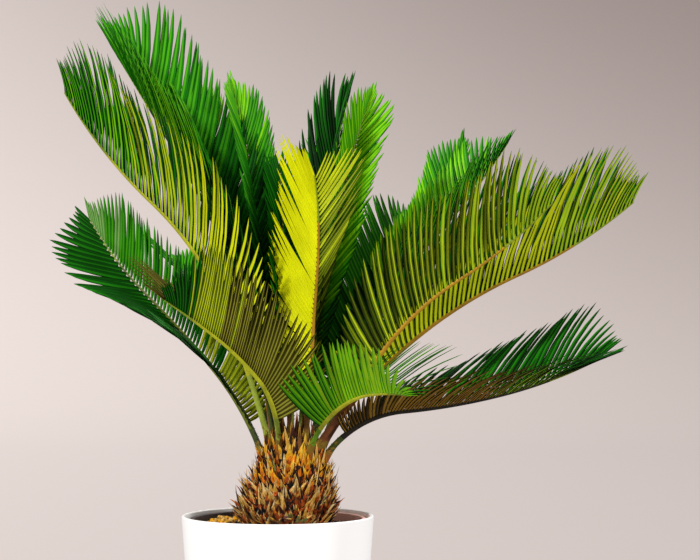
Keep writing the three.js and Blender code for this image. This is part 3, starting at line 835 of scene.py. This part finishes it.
fronds = [
    frondOf(
        "left_long", seat=0.024, length=0.547, leaf=0.157, vee=58, close=-0.3, heading=(185, 182),
        rise=(75, 69, 43, 60), lean=(6, 10), wide=0.84, upper="deep", under="limeEnd",
        stalk=("yellowGreen", "yellow"),
    ),
    frondOf(
        "left_tall", seat=0.024, length=0.612, leaf=0.157, vee=58, close=0.6, heading=(150, 150),
        rise=(84, 68, 55, 54), roll=(0, -10), lean=(7, 20), wide=(1.25, 1), upper=("mid", "striped"),
        stalk=("dark", "black"),
    ),
    frondOf(
        "rear_left_tall", seat=0.03, length=0.52, leaf=0.098, vee=40, close=0.5, heading=(140, 138),
        rise=(82, 76, 63, 54), lean=(8, 6), wide=0.95, upper="rearTall", stalk=("brown", "olive"),
    ),
    frondOf(
        "rear_tall", seat=0.022, length=0.5, leaf=0.081, vee=40, close=0.5, heading=(128, 126),
        rise=(84, 80, 74, 66), lean=(18, 6), wide=0.95, upper="rearTall", stalk=("brown", "olive"),
    ),
    frondOf(
        "centre_short", seat=0.008, length=0.372, leaf=0.08, vee=55, close=0.5, heading=(110, 105),
        rise=(86, 84, 80, 76), bare=0.25, upper="dark", stalk=("brown", "olive"),
    ),
    frondOf(
        "rear_right_tall", seat=0.024, length=0.474, leaf=0.121, vee=35, close=0.6, heading=(60, 43),
        rise=(84, 86, 74, 71), roll=(0, -12), bare=0.25, lean=(0, 26), wide=1.1, finer=(1, 0.9),
        upper="deep", stalk=("dark", "olive"),
    ),
    frondOf(
        "right_steep", seat=0.022, length=0.48, leaf=0.083, vee=60, close=0.92, heading=(30, 42),
        rise=(96, 76, 75, 66), roll=(20, 64, 64), bare=0.25, lean=(2, -12), wide=1.1, upper="fresh",
        stalk=("brown", "olive"),
    ),
    # Painted light: one hand's leaflets are bright yellow as the lit half, the other's olive as the
    # shaded half.
    frondOf(
        "front_upright", seat=0.016, length=0.37, leaf=0.123, vee=55, close=0.2, heading=(322, 256),
        rise=(76, 86, 67, 59), roll=(-8, 8), lean=(6, -20), wide=(0.98, 0.8), finer=(1.15, 1.1),
        upper=("gold", "oliveGold"), stalk=("brown", "orange"),
    ),
    frondOf(
        "right_front", seat=0.026, length=0.46, leaf=0.14, vee=58, close=0.2, heading=(-26, -14),
        rise=(52, 54, 31, 46), lean=(-4, -10), upper="deep", under="oliveLime", stalk=("red", "orange"),
    ),
    frondOf(
        "right_long", seat=0.03, length=0.536, leaf=0.154, vee=58, close=-0.3, heading=(-4, 2),
        rise=(61, 41, 24, 40), lean=(0, -3), wide=1.04, upper="deep", under="limeStripe",
        stalk=("red", "orange"),
    ),
    frondOf(
        "right_rear_high", seat=0.029, length=0.53, leaf=0.088, vee=45, close=0.9, heading=(46, 50),
        rise=(67, 45, 41, 78), bare=0.25, lean=(3, 8), wide=1.1, upper="sprig", stalk=("dark", "olive"),
    ),
    frondOf(
        "right_rear", seat=0.034, length=0.514, leaf=0.079, vee=55, close=0.7, heading=(27, 27),
        rise=(67, 62, 43, 54), bare=0.25, lean=(6, 0), wide=1.1, upper="sprig", stalk=("dark", "olive"),
    ),
    frondOf(
        "left_low", seat=0.037, length=0.424, leaf=0.098, vee=30, close=0.4, heading=(160, 148),
        rise=(69, 46, 40, 55), roll=(0, -10, -60, -68), bare=0.12, foot=(0.45, 0.15), lean=(-3, 0),
        wide=(0.95, 1.15), finer=(1.15, 0.78), upper=("wedge", "dark"), stalk=("dark", "olive"),
    ),
    frondOf(
        "front_left_low", seat=0.029, length=0.342, leaf=0.118, vee=50, close=0.35, heading=(238, 238),
        rise=(92, 36, 25, 22), roll=(0, 10, 10, 0), bare=0.14, foot=(0.3, 0.8), lean=(0, -4),
        wide=(1.1, 1.25), finer=(1.3, 1.5), upper=("umber", "umberGreen"),
        stalk=("yellowGreen", "yellow"),
    ),
    # Painted light: its spring limes are brighter than the leaflets' own colour, standing for light on
    # one hand, with darker greens on the other.
    frondOf(
        "front_right_low", seat=0.032, length=0.268, leaf=0.112, vee=45, close=0.6, heading=(305, 300),
        rise=(60, 28, 6, -4), foot=(0.7, 0.3), wide=1.05, finer=(1.15, 0.9),
        upper=("spring", "springBack"), stalk=("green", "yellow"),
    ),
    frondOf(
        "right_low", seat=0.037, length=0.398, leaf=0.134, vee=30, close=0.5, heading=(-10, -12),
        rise=(58, 5, 14, 27), roll=(-10, 28), bare=0.12, lean=(0, -8), wide=(1.2, 1.3), finer=(1.7, 1),
        upper="dark", under=("comb", "vivid"), stalk=("dark", "black"),
    ),
    frondOf(
        "rear_low", seat=0.037, length=0.47, leaf=0.11, vee=45, close=0.35, heading=(92, 90),
        rise=(60, 38, 22, 12), upper="vivid", under="fresh", stalk=("olive", "olive"),
    ),
    frondOf(
        "rear_right_low", seat=0.037, length=0.47, leaf=0.11, vee=45, close=0.35, heading=(62, 60),
        rise=(66, 48, 36, 28), upper="vivid", under="lime", stalk=("olive", "yellow"),
    ),
    frondOf(
        "rear_left_low", seat=0.036, length=0.43, leaf=0.105, vee=40, close=0.35, heading=(120, 118),
        rise=(62, 42, 30, 20), upper="mid", under="fresh", stalk=("dark", "olive"),
    ),
    frondOf(
        "rear_middle", seat=0.032, length=0.5, leaf=0.115, vee=45, close=0.35, heading=(78, 76),
        rise=(72, 58, 46, 40), upper="vivid", under="limeTop", stalk=("olive", "yellow"),
    ),
]

# Leaf colours, linear, each with the paler tone painted as light on a leaflet's lit slope and the darker
# one painted as shade on its other edge.
leafColors = {
    "blackGreen": ((0.001, 0.006, 0.001), "deepGreen", "blackGreen"),
    "deepGreen": ((0.002, 0.022, 0.002), "darkGreen", "blackGreen"),
    "darkGreen": ((0.003, 0.062, 0.002), "midGreen", "blackGreen"),
    "midGreen": ((0.01, 0.165, 0.003), "brightGreen", "deepGreen"),
    "brightGreen": ((0.06, 0.34, 0.005), "freshLime", "darkGreen"),
    "freshLime": ((0.22, 0.6, 0.006), "lime", "midGreen"),
    "springLime": ((0.36, 0.92, 0.012), "paleLime", "brightGreen"),
    "paleLime": ((0.5, 0.9, 0.02), "paleLime", "freshLime"),
    "softGreen": ((0.07, 0.24, 0.03), "paleGreen", "midGreen"),
    "paleGreen": ((0.2, 0.4, 0.1), "paleGreen", "midGreen"),
    "lime": ((0.34, 0.56, 0.014), "yellowLime", "darkGreen"),
    "yellowLime": ((0.58, 0.68, 0.016), "yellow", "darkOlive"),
    "yellow": ((0.74, 0.76, 0.002), "yellow", "yellow"),
    "olive": ((0.15, 0.2, 0.006), "yellowLime", "deepGreen"),
    "darkOlive": ((0.035, 0.05, 0.003), "olive", "blackGreen"),
    "umber": ((0.06, 0.05, 0.004), "khaki", "blackGreen"),
    "khaki": ((0.31, 0.3, 0.03), "khaki", "umber"),
    "bronze": ((0.34, 0.17, 0.018), "ochre", "deepBrown"),
    "ochre": ((0.7, 0.46, 0.05), "ochre", "bronze"),
    "deepBrown": ((0.05, 0.025, 0.006), "bronze", "blackGreen"),
}
leafNames = list(leafColors)
# The tones painted as light and as shade on each leaflet.
litTones, shadedTones = (
    np.array([leafNames.index(row[tone]) for row in leafColors.values()]) for tone in (1, 2)
)
# The colours of one side of a frond's leaflets, from its foot to its tip.
palettes = {
    "deep": ("deepGreen", "deepGreen", "darkGreen"),
    "dark": ("deepGreen", "darkGreen", "darkGreen", "darkGreen"),
    "mid": ("deepGreen", "darkGreen", "midGreen", "midGreen"),
    "vivid": ("darkGreen", "midGreen", "midGreen", "midGreen"),
    "fresh": ("midGreen", "brightGreen", "brightGreen", "brightGreen"),
    "striped": ("midGreen", "brightGreen", "brightGreen", "midGreen"),
    "rearTall": ("deepGreen", "darkGreen", "midGreen", "midGreen", "brightGreen"),
    "limeTop": ("yellowLime", "yellowLime", "lime", "brightGreen"),
    "lime": ("lime", "lime", "lime"),
    "gold": ("yellow", "yellow", "yellow"),
    "oliveGold": ("darkOlive", "olive", "olive", "yellowLime"),
    "oliveLime": ("darkOlive", "olive", "olive", "lime"),
    "comb": ("deepBrown", "bronze", "bronze", "bronze", "olive", "lime", "olive"),
    "umberGreen": ("umber", "umber", "umber", "umber", "olive", "olive", "darkGreen"),
    "umber": ("darkOlive", "umber", "umber", "umber"),
    "wedge": ("olive", "olive", "darkGreen", "midGreen", "midGreen", "softGreen"),
    "limeStripe": ("yellowLime", "yellowLime", "yellowLime", "lime"),
    "spring": ("brightGreen", "freshLime", "springLime", "springLime", "paleLime", "springLime"),
    "springBack": ("midGreen", "brightGreen", "brightGreen", "midGreen", "darkGreen"),
    "limeEnd": ("yellowLime", "yellowLime", "lime", "brightGreen", "midGreen"),
    "sprig": ("deepGreen", "brightGreen", "brightGreen", "midGreen"),
}
leafFinish = {
    "tints": (0.72, 1.25), "bump": (0.35, 0.0004), "shader": {"Specular IOR Level": 0.05},
    "smoothest": 0.42, "roughest": 0.58, "patchScale": 24, "fleckScale": 700,
    "patchAmount": 0.7, "fleckAmount": 0.25,
}
leafMaterials = makeFamily("leaf_", mottle, leafColors, **leafFinish)
stalkColors = {
    "foot": ((0.36, 0.11, 0.012),),
    "collar": ((0.25, 0.15, 0.012),),
    "yellow": ((0.5, 0.5, 0.02),),
    "yellowGreen": ((0.34, 0.42, 0.045),),
    "green": ((0.16, 0.34, 0.012),),
    "olive": ((0.13, 0.16, 0.012),),
    "dark": ((0.055, 0.075, 0.01),),
    "black": ((0.02, 0.014, 0.006),),
    "brown": ((0.24, 0.105, 0.015),),
    "orange": ((0.5, 0.26, 0.015),),
    "red": ((0.18, 0.055, 0.014),),
    "tip": ((0.3, 0.38, 0.02),),
}
stalkNames = list(stalkColors)
stalkFinish = {
    "tints": (0.6, 0.35), "bump": (0.4, 0.0005), "shader": {"Specular IOR Level": 0.25},
    "smoothest": 0.38, "roughest": 0.58, "patchScale": 60, "fleckScale": 480,
    "patchAmount": 0.7, "fleckAmount": 0.4,
}
stalkMaterials = makeFamily("stalk_", mottle, stalkColors, **stalkFinish)

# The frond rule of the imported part, and what is finer here: more and narrower leaflets that arch,
# bow towards the tip and stand a little open like slats. Angles are in degrees.
frondRule = {
    "stations": 96, "fullFrom": 0.35, "shortenFrom": 0.76, "shortenBy": 0.68,
    "sweepFoot": 75, "sweepSettles": 0.3, "sweepTurn": 28, "turnFrom": 0.7, "turnBy": 20,
    "closeFrom": 0.8, "flattenFrom": 0.7, "flattenBy": 0.3, "arch": 0.02, "bow": 0.035, "slat": -18,
    "spacing": 0.0072, "stagger": 0.2, "rootOut": 0.7, "rootSunk": 0.2, "thickness": 0.0011,
    "halfWidth": 0.003, "footWiden": 0.7, "widenTo": 0.4,
    "fullWidthLength": 0.06, "widthShares": (0.6, 1.05),
    "lengthSpread": (0.94, 1), "sweepSpread": 1, "veeSpread": 1.3, "slatSpread": 4, "toneSpread": 0.45,
}
# Pairs are for the stalk's foot and its tip. Its spines stand on part of its bare share. Its colours
# are told apart by the nearest of every few stations, and those at its foot by ragged edges.
stalkShape = {
    "halfWidth": (0.0035, 0.0008), "depth": (0.0075, 0.0018), "sunk": 0.006,
    "footWidth": 0.75, "footDepth": 0.4, "footLength": 0.03,
    "footTint": 0.017, "collar": 0.012, "ragged": 0.004, "raggedTo": 0.2, "tipFrom": 0.82, "tintStep": 4,
    "spineShare": 0.75, "spineSpacing": 0.009, "spineLength": (0.002, 0.0042), "spineWidth": 0.0005,
    "spineForward": 0.7, "spineUp": 0.35, "spineSeat": 0.85,
}
stalkSection = (
    (1, -0.18), (0.72, 0.06), (0, -0.02), (-0.72, 0.06), (-1, -0.18),
    (-0.75, -0.62), (0, -1), (0.75, -0.62),
)
# A leaflet's section: rolled edges, a groove above, and a keel between two hollows beneath.
leafletSection = (
    (-1, -0.85), (-0.78, 0.2), (0, 0), (0.78, 0.2), (1, -0.85), (0.6, -0.5), (0, -1.1), (-0.6, -0.5),
)
leafletStations = (
    (0, 0.5, 0.9, 0), (0.06, 0.78, 1, 0), (0.24, 0.98, 1, 0), (0.5, 0.96, 0.9, 0),
    (0.74, 0.78, 0.7, 0), (0.92, 0.42, 0.42, 0), (1, 0.05, 0.1, 0),
)
# Kinds of a leaflet's upper side: 0 its own tone, 1 the slope on one side, painted paler as light, 2 the
# rolled edge on the other side, painted darker as shade. Its underside has the same three, from 3 on.
# Each face is told by its place in the section.
leafletMarks = {"underBelow": -0.57, "upperEdge": 0.8, "underEdge": 0.58}


def leafletSide(face):
    heights, widths, depths, _ = zip(*leafletStations)
    corners = [corner.co for corner in face.verts]
    x = sum(place.x / np.interp(place.y, heights, widths) for place in corners) / len(corners)
    z = sum(place.z / np.interp(place.y, heights, depths) for place in corners) / len(corners)
    under = z < leafletMarks["underBelow"]
    if abs(x) > leafletMarks["underEdge" if under else "upperEdge"]:
        return 3 * under + (2 if x < 0 else 0)
    return 3 * under + (1 if x > 0 else 0)


leafletTemplate = bladeTemplate(leafletSection, leafletStations, leafletSide)
spineTemplate = bladeTemplate(
    ((-1, -1), (1, -1), (0, 1)), ((0, 1, 1, 0), (0.5, 0.6, 0.6, 0), (1, 0.05, 0.05, 0)),
)


def valuesAt(values, share):
    return np.interp(share, np.linspace(0, 1, len(values)), values)


# The way the stalk runs, the way its upper side faces, and the way its right-hand leaflets grow.
def frameAt(frond, share):
    turns = (np.radians(valuesAt(frond[key], share)) for key in ("heading", "rise", "roll"))
    heading, rise, roll = (turn[:, None] for turn in turns)
    level = np.concatenate([np.cos(heading), np.sin(heading), np.zeros_like(heading)], axis=1)
    run = level * np.cos(rise) + upright * np.sin(rise)
    above = upright * np.cos(rise) - level * np.sin(rise)
    up = above * np.cos(roll) + np.cross(run, above) * np.sin(roll)
    return run, up, np.cross(run, up)


# Places along the stalk, from its seat on the crown to its tip.
def stalkPlaces(frond):
    shares = np.linspace(0, 1, frondRule["stations"])
    turn, seat = math.radians(frond["heading"][0]), frond["seat"]
    height = crownHeight(seat)
    start = np.array([float(trunkMiddle(height)) + seat * math.cos(turn), seat * math.sin(turn), height])
    middles = (shares[1:] + shares[:-1]) / 2
    steps = frameAt(frond, middles)[0] * (frond["length"] * np.diff(shares))[:, None]
    return shares, np.concatenate([start[None], start + np.cumsum(steps, axis=0)])


def placesAt(share, shares, places):
    return np.stack([np.interp(share, shares, places[:, axis]) for axis in range(3)], axis=1)


def makeStalk(frond, shape, shares, places):
    stalk = Gathering()
    run, up, side = frameAt(frond, shares)
    swell = 1 - smoothStep(shares * frond["length"], 0, shape["footLength"])
    half = np.interp(shares, (0, 1), shape["halfWidth"]) * (1 + shape["footWidth"] * swell)
    depth = np.interp(shares, (0, 1), shape["depth"]) * (1 + shape["footDepth"] * swell)
    places = np.concatenate([places[:1] - run[:1] * shape["sunk"], places[1:]])
    frames = np.stack([side * half[:, None], run, up * depth[:, None], places], axis=-1)
    matrices = [Matrix((*rows, (0, 0, 0, 1))) for rows in frames.tolist()]
    body = asTemplate(sweptBody(stalkSection, matrices))
    middle = body["points"][body["faces"]].mean(axis=1)
    apart = np.linalg.norm(middle[:, None] - places[None, ::shape["tintStep"]], axis=2)
    share = shares[np.argmin(apart, axis=1) * shape["tintStep"]]
    bareColor, leafyColor = (stalkNames.index(name) for name in frond["stalk"])
    kinds = np.where(share < frond["bare"], bareColor, leafyColor)
    kinds[share > shape["tipFrom"]] = stalkNames.index("tip")
    rng = np.random.default_rng(len(frond["name"]) * 7 + int(frond["length"] * 1000))  # its own seed
    reach = (middle - places[0] - run[0] * shape["footTint"]) @ run[0]
    reach = reach + rng.normal(0, shape["ragged"], len(reach))
    nearFoot = share < shape["raggedTo"]
    kinds[nearFoot & (reach < shape["collar"])] = stalkNames.index("collar")
    kinds[nearFoot & (reach < 0)] = stalkNames.index("foot")
    stalk.add(body["points"], body["faces"], kinds, body["points"][:, :2])
    spineShare, spineWidth = shape["spineShare"], shape["spineWidth"]
    count = int(frond["bare"] * frond["length"] * spineShare / shape["spineSpacing"])
    for hand in (1, -1):
        at = frond["bare"] * (1 - spineShare * (np.arange(count) + rng.random(count)) / count)
        spineRun, spineUp, spineSide = frameAt(frond, at)
        outward = spineSide * hand * np.interp(at, shares, half)[:, None] * shape["spineSeat"]
        away = unit(hand * spineSide + shape["spineForward"] * spineRun + shape["spineUp"] * spineUp)
        length = rng.uniform(*shape["spineLength"], count)[:, None]
        out = squareTo(away, spineUp)
        kinds = np.full(count * len(spineTemplate["faces"]), bareColor)
        stalk.addCopies(
            spineTemplate, placesAt(at, shares, places) + outward, np.cross(away, out) * spineWidth,
            away * length, out * spineWidth, kinds,
        )
    mesh = stalk.mesh("stalk_" + frond["name"])
    finishPiece(mesh, "frond_" + frond["name"], stalkMaterials, sharpAngle=50)


# Picks a palette's colours in turn along the frond, a little mixed where two meet, as a column.
def dealLeaf(rng, palette, place):
    names = palettes[palette]
    step = place * len(names) + rng.normal(0, frondRule["toneSpread"], len(place))
    picked = np.clip(step.astype(int), 0, len(names) - 1)
    return np.array([leafNames.index(name) for name in names])[picked][:, None]


def makeLeaflets(frond, rule, shares, places):
    rng = np.random.default_rng(int(frond["length"] * 10000) + int(frond["leaf"] * 1000))  # its own seed
    leaflets = Gathering()
    x, y, z = leafletTemplate["points"].T[:, None, :, None]  # laid out to spread over all leaflets
    for hand in (1, -1):
        which = 0 if hand > 0 else 1
        foot, lean, wide, finer, *sides = (frond[key][which] for key in handedValues)
        pairs = round(frond["length"] * (1 - frond["bare"]) / rule["spacing"] * finer)
        place = (np.arange(pairs) + 0.5 + rule["stagger"] * hand) / pairs
        share = frond["bare"] + (1 - frond["bare"]) * place
        run, up, side = frameAt(frond, share)
        grown = foot + (1 - foot) * smoothStep(place, 0, rule["fullFrom"])
        spent = 1 - rule["shortenBy"] * smoothStep(place, rule["shortenFrom"], 1)
        settled = (rule["sweepTurn"] + lean) * smoothStep(place, 0, rule["sweepSettles"])
        sweep = rule["sweepFoot"] - settled - rule["turnBy"] * smoothStep(place, rule["turnFrom"], 1)
        sweep = sweep * (1 - frond["close"] * smoothStep(place, rule["closeFrom"], 1))
        sweep = np.radians(sweep + rng.normal(0, rule["sweepSpread"], pairs))[:, None]
        vee = frond["vee"] * (1 - rule["flattenBy"] * smoothStep(place, rule["flattenFrom"], 1))
        vee = np.radians(vee + rng.normal(0, rule["veeSpread"], pairs))[:, None]
        length = (frond["leaf"] * grown * spent * rng.uniform(*rule["lengthSpread"], pairs))[:, None]
        reach = run * np.cos(sweep) + (side * hand * np.cos(vee) + up * np.sin(vee)) * np.sin(sweep)
        face = up * np.cos(vee) - side * hand * np.sin(vee)
        forward = squareTo(reach, run)
        slat = np.radians(rule["slat"] + rng.normal(0, rule["slatSpread"], pairs))[:, None]
        across = (forward * np.cos(slat) - face * np.sin(slat)) * hand
        out = face * np.cos(slat) + forward * np.sin(slat)
        half = np.interp(share, (0, 1), stalkShape["halfWidth"])[:, None]
        root = placesAt(share, shares, places) + side * hand * half * rule["rootOut"]
        root = root - up * half * rule["rootSunk"]
        widened = 1 + rule["footWiden"] * (1 - smoothStep(place, 0, rule["widenTo"]))
        widthShare = np.clip(length / rule["fullWidthLength"], *rule["widthShares"])
        width = rule["halfWidth"] * wide / finer * widthShare * widened[:, None]
        curve = 4 * y * (1 - y) * length[:, None]
        points = (
            root[:, None] + (reach * length)[:, None] * y
            - forward[:, None] * curve * rule["bow"] + face[:, None] * curve * rule["arch"]
            + (across * width)[:, None] * x + out[:, None] * rule["thickness"] * z
        )
        upper, under = (dealLeaf(rng, palette, place) for palette in sides)
        # Each leaflet's own tones, with the paler slope painted as light and the darker edge as shade.
        tones = (upper, litTones[upper], shadedTones[upper], under, litTones[under], shadedTones[under])
        kinds = np.choose(leafletTemplate["kinds"][None], tones).reshape(-1)
        uvs = np.tile(leafletTemplate["points"][:, :2], (pairs, 1))
        leaflets.add(points.reshape(-1, 3), copiedFaces(leafletTemplate, pairs), kinds, uvs)
    mesh = leaflets.mesh("leaflets_" + frond["name"])
    finishPiece(mesh, "frond_" + frond["name"], leafMaterials, sharpAngle=35)
    return len(mesh.polygons)


leafFaces = 0
for frond in fronds:
    shares, places = stalkPlaces(frond)
    makeStalk(frond, stalkShape, shares, places)
    leafFaces += makeLeaflets(frond, frondRule, shares, places)
print("fronds made:", len(fronds), "with", leafFaces, "faces of leaflets")

# Stage: a round seamless backdrop, so that every side has the same plain ground.
stageShape = {"floorRadius": 4.6, "sweep": 4.4, "height": 7.5, "sweepSteps": 16, "turnSteps": 96}
# Painted shade: the wash darkens the paper towards its patch colour high up and towards positive x, a
# painted falloff of the light.
stageFinish = {
    "color": (0.575, 0.516, 0.498), "patch": (0.165, 0.134, 0.126), "fleck": (0.37, 0.33, 0.315),
    "bump": (0.05, 0.002), "smoothest": 0.9, "roughest": 0.95,
    "darkPlace": (6.17, 0, 6.31), "stretch": (0.261, 0, 0.334), "darkReach": 1.7, "paleReach": 3.19,
    "fleckScale": 60, "fleckAmount": 0.03,
}
lightSetup = {
    "key": {"strength": 3.1, "from": (-0.6, -0.5, 0.63), "angle": 6, "color": (1, 0.985, 0.96)},
    "fill": {"strength": 2.1, "from": (0.7, -0.58, 0.42), "angle": 12, "color": (1, 0.97, 0.96)},
    "back": {"strength": 0.9, "from": (0.55, 0.62, 0.56), "angle": 20, "color": (1, 0.99, 0.98)},
    "world": {"strength": 0.44, "color": (1, 0.98, 0.97)},
}


def makeStage(shape, finish):
    floorRadius, sweep = shape["floorRadius"], shape["sweep"]
    outline = [(0, 0), *arcPoints(floorRadius, sweep, sweep, -90, 0, shape["sweepSteps"])]
    outline.append((floorRadius + sweep, shape["height"]))
    mesh = meshFrom(spunBody(outline, shape["turnSteps"]), "backdrop")
    mesh.materials.append(makeMaterial("backdropPaper", wash, **finish))
    mesh.shade_smooth()
    backdrop = bpy.data.objects.new("backdrop", mesh)
    backdrop.visible_shadow = backdrop.visible_diffuse = backdrop.visible_glossy = False
    scene.collection.objects.link(backdrop)


def makeLights(setup):
    for name in ("key", "fill", "back"):
        values = setup[name]
        data = bpy.data.lights.new(name + "_light", "SUN")
        data.energy, data.color = values["strength"], values["color"]
        data.angle = math.radians(values["angle"])
        lamp = bpy.data.objects.new(name + "_light", data)
        lamp.rotation_euler = Vector(values["from"]).to_track_quat("Z", "Y").to_euler()
        scene.collection.objects.link(lamp)
    world = bpy.data.worlds.new("studio")
    world.use_nodes = True
    background = world.node_tree.nodes["Background"]
    background.inputs["Color"].default_value = (*setup["world"]["color"], 1)
    background.inputs["Strength"].default_value = setup["world"]["strength"]
    scene.world = world
    scene.view_settings.view_transform = "Standard"


makeStage(stageShape, stageFinish)
makeLights(lightSetup)
print("stage and lights made")
